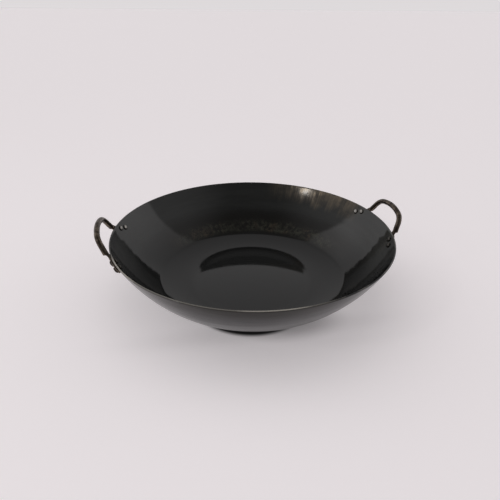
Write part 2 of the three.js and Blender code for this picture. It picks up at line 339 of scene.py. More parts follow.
def revolving_tree():
    tree = new_tree("revolve_section", {
        "Sides": "NodeSocketInt",
        "Wave Length": "NodeSocketFloat",
        "Wave Height": "NodeSocketFloat",
        "Finish": "NodeSocketMaterial",
    })
    source = node(tree, "NodeGroupInput").outputs
    waved = node(tree, "GeometryNodeSetPosition", {
        "Geometry": swept_section(tree, source), "Offset": wall_waves(tree, source)})
    normal = node(tree, "GeometryNodeInputNormal").outputs["Normal"]
    upward = node(tree, "ShaderNodeSeparateXYZ", {0: normal}).outputs["Z"]
    marked = stored(tree, waved, "inside", maths(tree, "GREATER_THAN", upward, 0.0), "FACE")
    position = node(tree, "GeometryNodeInputPosition")
    radius = vectors(tree, "LENGTH", vectors(tree, "MULTIPLY", position, (1, 1, 0)))
    measured = stored(tree, marked, "from_axis", radius, "POINT")
    smooth = node(tree, "GeometryNodeSetShadeSmooth", {"Geometry": measured})
    end_tree(tree, smooth, source["Finish"])
    return tree


revolve = revolving_tree()
count_nodes("revolving tree", revolve)

# %% [markdown]
# Finishes mix numbers and colours by masks. These are the words they are written in: a smooth step, a
# product, a mix of numbers, a blend of colours and a bump from a height in metres. A ColorRamp node could
# do the step, but a Map Range node is set in one line.

# %% Words for finishes
def ramp(tree, value, low, high, start=0.0, end=1.0):
    """A smooth step from one value to another as the input goes from low to high."""
    inputs = {"Value": value, 1: low, 2: high, 3: start, 4: end}
    return node(tree, "ShaderNodeMapRange", inputs, interpolation_type="SMOOTHSTEP")


def product(tree, *values):
    result = values[0]
    for value in values[1:]:
        result = maths(tree, "MULTIPLY", result, value)
    return result


def mix(tree, amount, first, second):
    return node(tree, "ShaderNodeMix", {0: amount, 2: first, 3: second})


def blend(tree, amount, first, second):
    return node(tree, "ShaderNodeMix", {0: amount, 6: first, 7: second}, data_type="RGBA").outputs[2]


def bump(tree, height):
    return node(tree, "ShaderNodeBump", {"Strength": 1.0, "Distance": 1.0, "Height": height})


def new_finish(name):
    """A material, its tree, its shader and the place of each point."""
    material = bpy.data.materials.new(name)
    material.use_nodes = True
    tree = material.node_tree
    return material, tree, tree.nodes["Principled BSDF"], node(tree, "ShaderNodeTexCoord").outputs["Object"]


# %% [markdown]
# The sheet looks like steel that was blackened by heat and sealed inside with a glossy coat. Its marks lie
# on one side of the bowl or another, as rings or as streaks. A picture could hold them, but a noise that is
# stretched in the bowl's coordinates, and a fade towards one side, can be changed by a number.

# %% Noise and sides of the bowl
SEED_STEP = 17.0


def bowl_noise(tree, spot, per_turn, per_metre, seed, detail=2.0):
    """Noise with about so many features round the bowl, and so many for each metre along its section."""
    turned = vectors(tree, "SCALE", spot["around"], per_turn / (2 * math.pi))
    lifted = maths(tree, "MULTIPLY_ADD", spot["along"], per_metre, SEED_STEP * seed)
    up = node(tree, "ShaderNodeCombineXYZ", {"Z": lifted})
    return noise(tree, vectors(tree, "ADD", turned, up), 1.0, detail)


def side_of_bowl(tree, spot, turn, reach, full):
    """1 on the side at a turn from the right handle, fading from full to reach degrees beside it."""
    towards = (math.cos(math.radians(turn)), math.sin(math.radians(turn)), 0)
    facing = vectors(tree, "DOT_PRODUCT", spot["around"], towards)
    return ramp(tree, facing, math.cos(math.radians(reach)), math.cos(math.radians(full)))


# %% [markdown]
# The black is nearly colourless, so most of what is seen inside is the coat's reflection. Over it lie the
# marks of heat: on the far side a mottled band of olive and brown above the knuckle, with a burnt ring
# around it. They could be painted on an unwrapped mesh, but a mask made of noise is quicker to change.

# %% Heat marks
BAND_TURN = 77
BAND_INNER = (0.146, 0.152)
BAND_OUTER = (0.158, 0.170)
BURNT_INNER = (0.148, 0.156)
BURNT_OUTER = (0.174, 0.192)
BURNT_WANDER = 0.012


def heat_band(tree, spot, inside):
    """Where the mottled band is: blotches in larger patches, broken up by fine specks."""
    lower = ramp(tree, spot["radius"], *BAND_INNER)
    upper = ramp(tree, spot["radius"], *BAND_OUTER, 1, 0)
    blotches = ramp(tree, bowl_noise(tree, spot, per_turn=160, per_metre=110, seed=2, detail=3), 0.28, 0.74)
    patches = ramp(tree, bowl_noise(tree, spot, per_turn=40, per_metre=60, seed=7), 0.35, 0.60, 0.45, 1)
    specks = ramp(tree, bowl_noise(tree, spot, per_turn=520, per_metre=180, seed=15), 0.36, 0.64, 0.7, 1.2)
    side = side_of_bowl(tree, spot, BAND_TURN, reach=66, full=40)
    return product(tree, lower, upper, blotches, patches, specks, inside, side)


def burnt_ring(tree, spot, inside):
    """Where the wall is burnt darkest, under the band and a little above it."""
    wander = bowl_noise(tree, spot, per_turn=30, per_metre=40, seed=11, detail=3)
    edge = maths(tree, "MULTIPLY_ADD", wander, BURNT_WANDER, spot["radius"])
    ring = product(tree, ramp(tree, edge, *BURNT_INNER), ramp(tree, edge, *BURNT_OUTER, 1, 0))
    return product(tree, ring, inside, side_of_bowl(tree, spot, BAND_TURN, reach=80, full=55))


# %% [markdown]
# Use leaves marks too. Beside the right handle the coat is scoured through below the rim, down to a bronze
# metal. On the rim's cut edge a pale grey stands for bare steel where it is rubbed most, and is also a
# painted highlight where the edge catches the light. Both are masks like the ones above, and each of them
# then steers colour, roughness and metal together.

# %% Marks of use, and a painted highlight on the rim
SCOUR_TURN = 42
SCOURED = (0.200, 0.219)
SCOUR_RAGGED = 0.020
# Where the cut edge is painted pale as a highlight, at the places where it catches the light.
LEFT_GLINT_TURN = 205
FRONT_TURN = 240
WEAR_AND_GLINT_TURN = 266
CUT_EDGE = (RIM_HEIGHT - 0.0001, RIM_HEIGHT + 0.0003)


def scoured_patch(tree, spot, inside):
    """Where the coat is scoured through: a ragged patch of fine streaks down the wall."""
    ragged = bowl_noise(tree, spot, per_turn=90, per_metre=20, seed=3, detail=3)
    reach = maths(tree, "ADD", spot["radius"], product(tree, ragged, SCOUR_RAGGED))
    streaks = bowl_noise(tree, spot, per_turn=700, per_metre=12, seed=8, detail=3)
    uneven = bowl_noise(tree, spot, per_turn=70, per_metre=40, seed=12)
    side = side_of_bowl(tree, spot, SCOUR_TURN, reach=31, full=8)
    return product(tree, ramp(tree, reach, *SCOURED), ramp(tree, streaks, 0.36, 0.62, 0.5, 1),
                   ramp(tree, uneven, 0.35, 0.60, 0.45, 1), inside, side)


def worn_edge_and_painted_glint(tree, spot):
    """Where the edge is pale, as wear and painted highlight: most in two places, less at the front, in dashes
    elsewhere.
    """
    dashes = ramp(tree, bowl_noise(tree, spot, per_turn=70, per_metre=1, seed=4, detail=4), 0.42, 0.62)
    front = side_of_bowl(tree, spot, FRONT_TURN, reach=54, full=32)
    less = maths(tree, "MAXIMUM", product(tree, front, 0.45), product(tree, dashes, 0.25))
    left = side_of_bowl(tree, spot, LEFT_GLINT_TURN, reach=14, full=6)
    most = maths(tree, "MAXIMUM", left, side_of_bowl(tree, spot, WEAR_AND_GLINT_TURN, reach=16, full=4))
    return product(tree, ramp(tree, spot["height"], *CUT_EDGE), maths(tree, "MAXIMUM", most, less))


# %% [markdown]
# The blacks differ a little: the floor is greyer than the dish around it, the wall is sooty in clouds, and
# the near side is painted darkest, as painted shade. One black with a varying gloss would come close, but
# the reflections are so dim that these small differences show.

# %% Colour of the inside
WALL_BLACK = (0.0210, 0.0218, 0.0206, 1)
WALL_SOOT = (0.0290, 0.0302, 0.0284, 1)
FLOOR_BLACK = (0.0160, 0.0163, 0.0160, 1)
DISH_BLACK = (0.0085, 0.0087, 0.0085, 1)
# Painted shade: the darker black of the near side of the inside.
NEAR_SHADE_BLACK = (0.0050, 0.0051, 0.0050, 1)
BURNT = (0.0062, 0.0055, 0.0040, 1)
OLIVE = (0.053, 0.053, 0.038, 1)
BROWN = (0.070, 0.055, 0.037, 1)
BRONZE = (0.240, 0.196, 0.145, 1)
FLOOR_EDGE = (0.088, 0.098)
WALL_START = (0.165, 0.190)
NEAR_SHADE_TURN = 260
NEAR_SHADE_START = (0.12, 0.15)


def inside_colour(tree, spot, inside, scoured):
    clouds = ramp(tree, bowl_noise(tree, spot, per_turn=12, per_metre=60, seed=1, detail=4), 0.35, 0.7)
    wall_colour = blend(tree, clouds, WALL_BLACK, WALL_SOOT)
    colour = blend(tree, ramp(tree, spot["radius"], *FLOOR_EDGE), FLOOR_BLACK, DISH_BLACK)
    colour = blend(tree, ramp(tree, spot["radius"], *WALL_START), colour, wall_colour)
    # Painted shade: the near side of the inside is made darker.
    near_shade = side_of_bowl(tree, spot, NEAR_SHADE_TURN, reach=88, full=60)
    colour = blend(tree, product(tree, near_shade, ramp(tree, spot["radius"], *NEAR_SHADE_START)), colour, NEAR_SHADE_BLACK)
    colour = blend(tree, burnt_ring(tree, spot, inside), colour, BURNT)
    hues = bowl_noise(tree, spot, per_turn=60, per_metre=20, seed=9)
    heat = blend(tree, ramp(tree, hues, 0.48, 0.66), OLIVE, BROWN)
    colour = blend(tree, heat_band(tree, spot, inside), colour, heat)
    return blend(tree, scoured, colour, BRONZE)


# %% [markdown]
# Outside there is no coat, only dark metal. It has long faint sweeps round the bowl, like turning marks, and
# a fine grain, and is browned below the rim at the front. An anisotropic shader could draw the sweeps, but
# they are seen as a change of colour rather than of shine.

# %% Colour of the outside
OUTSIDE_DARK = (0.0220, 0.0216, 0.0215, 1)
OUTSIDE_PALE = (0.0390, 0.0388, 0.0400, 1)
OUTSIDE_BROWN = (0.0330, 0.0310, 0.0265, 1)
BROWNED = (0.062, 0.082)


def outside_colour(tree, spot):
    sweeps = bowl_noise(tree, spot, per_turn=20, per_metre=300, seed=13, detail=3)
    grain = bowl_noise(tree, spot, per_turn=420, per_metre=420, seed=14)
    both = maths(tree, "ADD", product(tree, sweeps, 0.6), product(tree, grain, 0.4))
    front = side_of_bowl(tree, spot, FRONT_TURN, reach=62, full=35)
    browned = product(tree, ramp(tree, spot["height"], *BROWNED), front)
    colour = blend(tree, ramp(tree, both, 0.41, 0.59), OUTSIDE_DARK, OUTSIDE_PALE)
    return blend(tree, product(tree, browned, 0.7), colour, OUTSIDE_BROWN)


# %% [markdown]
# On the left of the bowl the reflections end in another place than an even bowl gives. The real wall may be
# uneven there, but the outline fits as it is, and a shape that leans would spoil it. So only the finish
# tilts the surface, by about 3 degrees. The coat also has a slight orange peel, and the outside fine turning
# marks, both far too shallow to model. One Bump node takes all three as a height in metres.

# %% Relief of the sheet
LEAN_TURN = 173
LEAN_START = 0.160
LEAN = 0.040
PEEL = 0.000004
TURNING_MARKS = 0.000006


def sheet_relief(tree, spot, inside, turning):
    climbed = maths(tree, "MAXIMUM", maths(tree, "SUBTRACT", spot["along"], LEAN_START), 0.0)
    lean = product(tree, climbed, -LEAN, side_of_bowl(tree, spot, LEAN_TURN, reach=48, full=22))
    peel = product(tree, bowl_noise(tree, spot, per_turn=300, per_metre=320, seed=10), PEEL)
    marks = product(tree, turning, TURNING_MARKS)
    return bump(tree, mix(tree, inside, marks, maths(tree, "ADD", lean, peel)))


# %% [markdown]
# Now the parts of the finish come together. The coat is glossy and no metal, the outside is satin metal, and
# the scoured patch lies between the two. The bare edge, partly wear and partly a painted highlight, could be
# metal as well, but it would turn dark wherever it reflects the dim half of the room. A plain pale grey
# doesn't.

# %% Black steel
# A pale grey on the cut edge: partly bare steel, partly a painted highlight.
BARE_AND_GLINT = (0.400, 0.375, 0.330, 1)
BARE_AND_GLINT_ROUGHNESS = 0.45
SCOURED_ROUGHNESS = 0.26
SCOURED_METAL = 0.8


def sheet_roughness(tree, spot, inside, turning, scoured, bare_and_glint):
    satin = ramp(tree, turning, 0.3, 0.7, 0.15, 0.27)
    sheen = bowl_noise(tree, spot, per_turn=40, per_metre=40, seed=6, detail=3)
    rough = mix(tree, inside, satin, ramp(tree, sheen, 0.3, 0.7, 0.05, 0.08))
    rough = mix(tree, scoured, rough, SCOURED_ROUGHNESS)
    return mix(tree, bare_and_glint, rough, BARE_AND_GLINT_ROUGHNESS)


def sheet_metal(tree, inside, scoured, bare_and_glint):
    outside = maths(tree, "SUBTRACT", 1.0, inside)
    metal = maths(tree, "MAXIMUM", outside, product(tree, scoured, SCOURED_METAL))
    return mix(tree, bare_and_glint, metal, 0.0)


def black_steel():
    material, tree, shader, place = new_finish("black_steel")
    spot = bowl_place(tree, place)
    inside = node(tree, "ShaderNodeAttribute", attribute_name="inside").outputs["Fac"]
    scoured = scoured_patch(tree, spot, inside)
    bare_and_glint = worn_edge_and_painted_glint(tree, spot)
    turning = bowl_noise(tree, spot, per_turn=10, per_metre=900, seed=5)
    coated = inside_colour(tree, spot, inside, scoured)
    colour = blend(tree, inside, outside_colour(tree, spot), coated)
    fill(tree, shader, {
        "Base Color": blend(tree, bare_and_glint, colour, BARE_AND_GLINT),
        "Roughness": sheet_roughness(tree, spot, inside, turning, scoured, bare_and_glint),
        "Metallic": sheet_metal(tree, inside, scoured, bare_and_glint),
        "Normal": sheet_relief(tree, spot, inside, turning),
    })
    return material


black = black_steel()
count_nodes("black steel", black.node_tree)

# %% [markdown]
# The rod is brown-black, as scale and oil leave steel, with a soft bronze shine where it is rubbed. It could
# be one colour with a gloss, but patches of a few millimetres make it read as steel.

# %% Rod steel
ROD_SCALE = (0.046, 0.036, 0.029, 1)
ROD_BRONZE = (0.155, 0.126, 0.098, 1)
ROD_RELIEF = 0.00012


def rod_steel():
    material, tree, shader, place = new_finish("rod_steel")
    patches = noise(tree, place, 160.0, 4.0)
    grain = product(tree, noise(tree, place, 900.0, 3.0), 0.3)
    fill(tree, shader, {
        "Base Color": blend(tree, ramp(tree, patches, 0.35, 0.65), ROD_SCALE, ROD_BRONZE),
        "Roughness": ramp(tree, patches, 0.3, 0.7, 0.38, 0.22),
        "Metallic": 1.0,
        "Normal": bump(tree, product(tree, maths(tree, "ADD", patches, grain), ROD_RELIEF)),
    })
    return material


rod_finish = rod_steel()
count_nodes("rod steel", rod_finish.node_tree)

# %% [markdown]
# Rivets are bare steel that has dulled. Their crowns are lighter, partly rubbed bright and partly a painted
# highlight, and their edges darker, partly dirt and partly painted shade, so the colour follows the distance
# from the rivet's own axis, which the revolving tree stores on each point. The front ones are painted darker
# than those at the back, as painted shade. One material that looks at the place along Y does both.

# %% Rivet steel
# The dark colour is dirt and painted shade; the light one is rubbed steel and a painted highlight.
RIVET_DIRT_AND_SHADE = (0.060, 0.054, 0.047, 1)
RIVET_RUBBED_AND_HIGHLIGHT = (0.50, 0.48, 0.45, 1)
RIVET_RELIEF = 0.00005
CROWN_EDGE = (0.0020, 0.0042)
FRONT_SHADE_TO_BACK = (-0.02, 0.02)


def rivet_steel():
    material, tree, shader, place = new_finish("rivet_steel")
    patches = noise(tree, place, 700.0, 3.0)
    from_axis = node(tree, "ShaderNodeAttribute", attribute_name="from_axis").outputs["Fac"]
    back = node(tree, "ShaderNodeSeparateXYZ", {0: place}).outputs["Y"]
    crown = ramp(tree, from_axis, *CROWN_EDGE, 1, 0)
    uneven = ramp(tree, patches, 0.3, 0.6, 0.5, 1)
    # Painted highlight on the crowns, painted shade round the edges and on the front rivets.
    rubbed_and_highlight = product(tree, crown, uneven, ramp(tree, back, *FRONT_SHADE_TO_BACK, 0.12, 1))
    fill(tree, shader, {
        "Base Color": blend(tree, rubbed_and_highlight, RIVET_DIRT_AND_SHADE, RIVET_RUBBED_AND_HIGHLIGHT),
        "Roughness": ramp(tree, patches, 0.3, 0.7, 0.42, 0.32),
        "Metallic": 1.0,
        "Normal": bump(tree, product(tree, patches, RIVET_RELIEF)),
    })
    return material


rivet_finish = rivet_steel()
count_nodes("rivet steel", rivet_finish.node_tree)

# %% [markdown]
# A tree is run by a modifier on a starting object, here a section drawn as a curve. Its inputs are set by
# the sockets' identifiers before anything is evaluated. The modifier could stay live on the object, but a
# plain mesh at the origin is simpler to measure and to export.

# %% Running a tree
def section_curve(points):
    """An outline as a curve object, for the revolving tree."""
    curve = bpy.data.curves.new("section", "CURVE")
    curve.dimensions = "3D"
    spline = curve.splines.new("POLY")
    spline.points.add(len(points) - 1)
    for spot, point in zip(spline.points, points):
        spot.co = (point.x, point.y, 0, 1)
    return bpy.data.objects.new("section", curve)


def run_tree(tree, start, name, inputs):
    """Runs a tree on a starting object and returns the result as a plain mesh object at the origin."""
    scene.collection.objects.link(start)
    modifier = start.modifiers.new(tree.name, "NODES")
    modifier.node_group = tree
    for socket in tree.interface.items_tree:
        if socket.in_out == "INPUT" and socket.name in inputs:
            modifier[socket.identifier] = inputs[socket.name]
    evaluated = start.evaluated_get(bpy.context.evaluated_depsgraph_get())
    mesh = bpy.data.meshes.new_from_object(evaluated)
    bpy.data.objects.remove(start)
    mesh.name = name
    made = bpy.data.objects.new(name, mesh)
    scene.collection.objects.link(made)
    return made


# %% [markdown]
# Every finished piece is tied to the frame in the same way: the body that it moves with and the nodes of the
# imported model that it stands for. Its faces are turned outwards once more, as a guard, and its volume is
# printed, which shows whether it is closed and of the right size.

# %% Finishing a piece
def face_outwards(piece):
    """Turns all faces outwards and returns the volume."""
    shape = bmesh.new()
    shape.from_mesh(piece.data)
    bmesh.ops.recalc_face_normals(shape, faces=shape.faces)
    shape.to_mesh(piece.data)
    volume = shape.calc_volume(signed=True)
    shape.free()
    return volume


def finished(piece, slot, *nodes):
    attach(piece, "root")
    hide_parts(*nodes)
    triangles = sum(len(face.vertices) - 2 for face in piece.data.polygons)
    print("%s: %d triangles, %.1f cm3" % (piece.name, triangles, 1e6 * face_outwards(piece)))


# %% [markdown]
# With its section, its tree and its finish, the bowl takes one call. A subdivision would round it further,
# but 400 sides are smooth at this size and keep the mesh under 200,000 triangles.

# %% Bowl
bowl = run_tree(revolve, section_curve(sheet_section), "pressed_bowl", {
    "Sides": 400,
    "Wave Length": 0.020,
    "Wave Height": 0.00025,
    "Finish": black,
})
finished(bowl, "black_steel", "bowl")

# %% [markdown]
# Each handle is a round rod, bent into a loop, with its two ends hammered flat into lugs that are riveted
# to the wall outside, just below the rim. A curve with a round bevel would give the rod but not the lugs,
# so the handle is made of rings of points. Its sizes come first, with the places of its rivets.

# %% Sizes of a handle, in metres
ROD = 0.0079
LEG_SPREAD = 0.0439
LEG_LEAN = math.radians(20.3)
LOOP_HEIGHT = 0.0297
LOOP_CORNER = 0.0204
LOOP_CROWN = 0.093
HANDLE_TILT = math.radians(63)
LUG_WIDTH = 0.013
LUG_THICK = 0.0032
LUG_DEPTH = 0.0053
LUG_DROP = math.radians(20)
LUG_INSIDE_CORNER = 0.001
LUG_MARGIN = 0.0067
SHOULDER_RISE = 0.003
SHOULDER_POWER = 8
RIVET_FIRST = 0.0088
RIVET_PITCH = 0.0129
HEAD = 0.009
SEAT_GAP = 0.0003
PAD_GAP = 0.0005
lug_length = RIVET_FIRST + RIVET_PITCH + LUG_MARGIN
print("lug: %.1f mm long" % (1000 * lug_length))

# %% [markdown]
# The bends are drawn flat, as distance along the rim and height above it. The rod turns aside into its lug
# below the rim, and that turn touches both straight lengths. A Bevel of a sharp corner would do the same,
# but the turn's two ends are needed later, to know where the rod starts to flatten.

# %% Turn from leg to lug
leg_up = Vector((-math.sin(LEG_LEAN), math.cos(LEG_LEAN)))
leg_in = Vector((-math.cos(LEG_LEAN), -math.sin(LEG_LEAN)))
lug_out = Vector((math.cos(LUG_DROP), -math.sin(LUG_DROP)))
leg_foot = Vector((LEG_SPREAD, 0))
shoulder_point = leg_foot + SHOULDER_RISE * leg_up
turn_point = leg_foot - LUG_DEPTH / math.cos(LEG_LEAN) * leg_up
turn_angle = math.pi / 2 - LEG_LEAN - LUG_DROP
turn_radius = LUG_WIDTH / 2 + LUG_INSIDE_CORNER
turn_length = turn_radius * math.tan(turn_angle / 2)
turn_start = turn_point + turn_length * lug_out
turn_end = turn_point + turn_length * leg_up
turn_centre = turn_end - turn_radius * leg_in

lug_tip = turn_point + lug_length * lug_out
pad_end = lug_length - RIVET_FIRST + HEAD / 2 + PAD_GAP
shoulder = lug_length + turn_radius * turn_angle - 2 * turn_length + (turn_point - shoulder_point).length
print("flat for %.1f mm from the tip, round from %.1f mm" % (1000 * pad_end, 1000 * shoulder))

# %% [markdown]
# At the top, a corner arc joins each leg to the slightly bowed crown. The corner's centre lies one corner
# radius from the leg, and as far from the crown's centre as the two radii differ. That fixes the length of
# the leg, which therefore can't disagree with the other sizes.

# %% Corners of the loop
crown_centre = Vector((0, LOOP_HEIGHT - LOOP_CROWN))
inset = leg_foot + LOOP_CORNER * leg_in - crown_centre
along_leg = inset.dot(leg_up)
straight = math.sqrt(along_leg ** 2 - inset.length_squared + (LOOP_CROWN - LOOP_CORNER) ** 2) - along_leg
corner_start = leg_foot + straight * leg_up
corner_centre = corner_start + LOOP_CORNER * leg_in
crown_turn = math.atan2(corner_centre.x - crown_centre.x, corner_centre.y - crown_centre.y)
print("leg: %.1f mm straight" % (1000 * straight))

# %% [markdown]
# A rod that was drawn flat has to lie on a round pot. A Shrinkwrap modifier could press it on to the wall,
# but it would pull in the loop as well. So one function seats each point of the flat outline: above the rim
# in the handle's sloping plane, and below it on the outside of the wall. It also gives the direction out
# from the pot, which the lugs and the rivets need.

# %% Seating a flat outline on the pot
leg_turn = math.asin(LEG_SPREAD / RIM_RADIUS)


def smoothstep(value, low, high):
    t = min(max((value - low) / (high - low), 0), 1)
    return t * t * (3 - 2 * t)


def seat(across, up):
    """Where a point of the flat outline lies on the right-hand side, and which way is out from the pot."""
    side = -1 if across < 0 else 1
    slope = RIM_SLOPE + min(up, 0) / WALL_RADIUS
    beyond_leg = 0 if up > 0 else (abs(across) - LEG_SPREAD) / RIM_RADIUS
    turn = Matrix.Rotation(side * (leg_turn + beyond_leg), 3, "Z")
    out = Vector((math.sin(slope), 0, -math.cos(slope)))
    point = turn @ (WALL_RADIUS * out + Vector((WALL_CENTRE.x, 0, WALL_CENTRE.y)))
    out = turn @ out
    if up > 0:
        plane = Vector((math.sin(HANDLE_TILT), 0, -math.cos(HANDLE_TILT)))
        out = out.lerp(plane, smoothstep(up, 0, corner_start.y)).normalized()
        point = Vector((point.x + up * math.cos(HANDLE_TILT), across, point.z + up * math.sin(HANDLE_TILT)))
    return point, out


# %% [markdown]
# The flat outline runs from a lug's tip, round the turn, up the leg and over the corner to the middle of the
# crown, and the other half mirrors it. Stations about a millimetre apart follow it, and closer ones at the
# shoulder, where the section changes fastest.

# %% Outline of a handle
STATION_PITCH = 0.0011
TIP_STEPS = 12


def lug_end():
    """The round end of a lug, from its small blunt tip to its full width."""
    first = math.asin(LUG_THICK / LUG_WIDTH)
    angles = [first + (math.pi / 2 - first) * i / TIP_STEPS for i in range(TIP_STEPS + 1)]
    return [lug_tip - LUG_WIDTH / 2 * (1 - math.cos(angle)) * lug_out for angle in angles]


def half_outline():
    points = lug_end()
    points += line(points[-1], turn_start, STATION_PITCH)
    points += arc(turn_centre, turn_radius, -LUG_DROP, LEG_LEAN - math.pi / 2, STATION_PITCH)
    points += line(turn_end, shoulder_point, STATION_PITCH / 3)
    points += line(shoulder_point, corner_start, STATION_PITCH)
    points += arc(corner_centre, -LOOP_CORNER, LEG_LEAN - math.pi / 2, -crown_turn, STATION_PITCH)
    points += arc(crown_centre, -LOOP_CROWN, -crown_turn, 0, STATION_PITCH)
    return points


half = half_outline()
outline = half + [Vector((-point.x, point.y)) for point in half[-2::-1]]
print("handle:", len(outline), "stations")

# %% [markdown]
# Along the outline the section changes, from two half circles with a flat between them at a lug to a full
# circle in the loop. Hammering squeezes a rod flat over a short length, so the thickness steps down steeply
# at the shoulder, by a power that is easy to tune.

# %% Sections of a handle
ROD_SIDES = 40


def flattened(from_tip):
    """Thickness and width of the rod at a distance from the lug's tip."""
    roundness = min(max((from_tip - pad_end) / (shoulder - pad_end), 0), 1)
    thick = LUG_THICK + (ROD - LUG_THICK) * roundness ** SHOULDER_POWER
    from_round = LUG_WIDTH / 2 - min(from_tip, LUG_WIDTH / 2)
    tip_width = 2 * math.sqrt((LUG_WIDTH / 2) ** 2 - from_round ** 2)
    wide = tip_width + (ROD - tip_width) * smoothstep(roundness, 0, 1)
    return thick, max(wide, thick)


def ring(centre, outward, sideways, thick, wide):
    """One section of the rod: a circle, or two half circles with a flat between them."""
    corners = []
    for k in range(ROD_SIDES):
        angle = 2 * math.pi * (k + 0.5) / ROD_SIDES
        edge = math.copysign((wide - thick) / 2, math.sin(angle))
        corners.append(centre + math.cos(angle) * thick / 2 * outward
                       + (math.sin(angle) * thick / 2 + edge) * sideways)
    return corners


print("thickness and width of a lug:", flattened(lug_length / 2))

# %% [markdown]
# Each section is square to the rod, with its thin side facing out from the pot, so that a lug lies flat on
# the wall. Its middle stands off by half its thickness and the gap under the lug. A curve's own tilt could
# turn the sections, but it would have to be set by eye at every bend.

# %% Rings of a handle
def handle_rings():
    """All sections of the right handle, from one lug's tip to the other's."""
    distances = [(lug_tip - outline[0]).length]
    for before, after in zip(outline, outline[1:]):
        distances.append(distances[-1] + (after - before).length)
    whole = distances[-1] + distances[0]
    seats = [seat(point.x, point.y) for point in outline]
    last = len(seats) - 1
    rings = []
    for i, (point, out) in enumerate(seats):
        forward = (seats[min(i + 1, last)][0] - seats[max(i - 1, 0)][0]).normalized()
        outward = (out - out.dot(forward) * forward).normalized()
        thick, wide = flattened(min(distances[i], whole - distances[i]))
        centre = point + (SEAT_GAP + thick / 2) * out
        rings.append(ring(centre, outward, forward.cross(outward), thick, wide))
    return rings


rings = handle_rings()
print("handle:", len(rings), "rings of", ROD_SIDES, "points")

# %% [markdown]
# Quads join each ring to the next, so that the hammered shoulder comes out as one smooth skin. Joining a rod
# and two plates by a boolean would leave a seam there. The left handle is the same, turned half round.

# %% Handles
def skinned(name, rings, finish):
    faces = []
    for i in range(len(rings) - 1):
        for k in range(ROD_SIDES):
            a = i * ROD_SIDES + k
            b = i * ROD_SIDES + (k + 1) % ROD_SIDES
            faces.append((a, b, b + ROD_SIDES, a + ROD_SIDES))
    corners = [corner for section in rings for corner in section]
    faces.append(range(ROD_SIDES - 1, -1, -1))
    faces.append(range(len(corners) - ROD_SIDES, len(corners)))
    mesh = bpy.data.meshes.new(name)
    mesh.from_pydata(corners, [], faces)
    mesh.materials.append(finish)
    mesh.shade_smooth()
    return mesh


for side, half_turn in (("right", 0), ("left", math.pi)):
    mesh = skinned("rod_handle_" + side, rings, rod_finish)
    mesh.transform(Matrix.Rotation(half_turn, 4, "Z"))
    handle = bpy.data.objects.new(mesh.name, mesh)
    scene.collection.objects.link(handle)
    finished(handle, "rod_steel", "handle_" + side)

# %% [markdown]
# Two rivets hold each lug. A rivet is round, so the revolving tree makes one from its section, which runs
# from the middle of the inner head along the shank to the middle of the outer one. A cut sphere would do
# for a head, but these heads are flatter on top and rounder at the edge.

# %% One rivet
HEAD_STEPS = 16
HEAD_POWER = 2.4
HEAD_RISE = 0.0023
HEAD_GAP = 0.0004
SHANK = 0.005
INNER_HEAD = 0.0080
INNER_RISE = 0.0018
inner_seat = -SHEET - HEAD_GAP
outer_seat = SEAT_GAP + LUG_THICK + HEAD_GAP


def head_curve(across, rise):
    """Half the outline of a head, from its middle to its edge."""
    points = []
    for i in range(HEAD_STEPS + 1):
        turn = i / HEAD_STEPS * math.pi / 2
        out = across / 2 * math.sin(turn) ** (2 / HEAD_POWER)
        points.append(Vector((out, rise * math.cos(turn) ** (2 / HEAD_POWER))))
    return points


def rivet_section():
    """The whole section, with 0 on the outside of the wall."""
    inner = [Vector((point.x, inner_seat - point.y)) for point in head_curve(INNER_HEAD, INNER_RISE)]
    outer = [Vector((point.x, outer_seat + point.y)) for point in head_curve(HEAD, HEAD_RISE)]
    return inner + [Vector((SHANK / 2, inner_seat)), Vector((SHANK / 2, outer_seat))] + outer[::-1]


one_rivet = run_tree(revolve, section_curve(rivet_section()), "one_rivet", {
    "Sides": 48,
    "Wave Height": 0.0,
    "Finish": rivet_finish,
})
print("one rivet:", len(one_rivet.data.vertices), "points")

# %% [markdown]
# The eight rivets stand on the wall, each along the wall's own outward direction. Copies could be placed in
# a loop, but this is what Geometry Nodes do best: a mesh of eight points carries the directions, and a small
# tree sets a copy on each.

# %% Rivets
def rivet_points():
    """A mesh of eight points on the outside of the wall, each with its outward direction."""
    places = []
    directions = []
    for half_turn in (0, math.pi):
        turn = Matrix.Rotation(half_turn, 3, "Z")
        for side in (1, -1):
            for distance in (RIVET_FIRST, RIVET_FIRST + RIVET_PITCH):
                spot = turn_point + distance * lug_out
                point, out = seat(side * spot.x, spot.y)
                places.append(turn @ point)
                directions.append(turn @ out)
    mesh = bpy.data.meshes.new("rivet_points")
    mesh.from_pydata(places, [], [])
    outward = mesh.attributes.new("outward", "FLOAT_VECTOR", "POINT")
    for entry, direction in zip(outward.data, directions):
        entry.vector = direction
    return bpy.data.objects.new("rivet_points", mesh)


def riveting_tree():
    tree = new_tree("set_rivets", {"Rivet": "NodeSocketObject", "Finish": "NodeSocketMaterial"})
    source = node(tree, "NodeGroupInput").outputs
    rivet = node(tree, "GeometryNodeObjectInfo", {"Object": source["Rivet"]}).outputs["Geometry"]
    outward = node(tree, "GeometryNodeInputNamedAttribute", {"Name": "outward"}, data_type="FLOAT_VECTOR")
    aim = node(tree, "FunctionNodeAlignRotationToVector", {"Vector": outward.outputs["Attribute"]}, axis="Z")
    copies = node(tree, "GeometryNodeInstanceOnPoints", {
        "Points": source["Geometry"], "Instance": rivet, "Rotation": aim})
    end_tree(tree, copies, source["Finish"])
    return tree


rivets = run_tree(riveting_tree(), rivet_points(), "rivets", {"Rivet": one_rivet, "Finish": rivet_finish})
bpy.data.objects.remove(one_rivet)
finished(rivets, "rivet_steel", *[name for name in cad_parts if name.startswith("rivet_")])

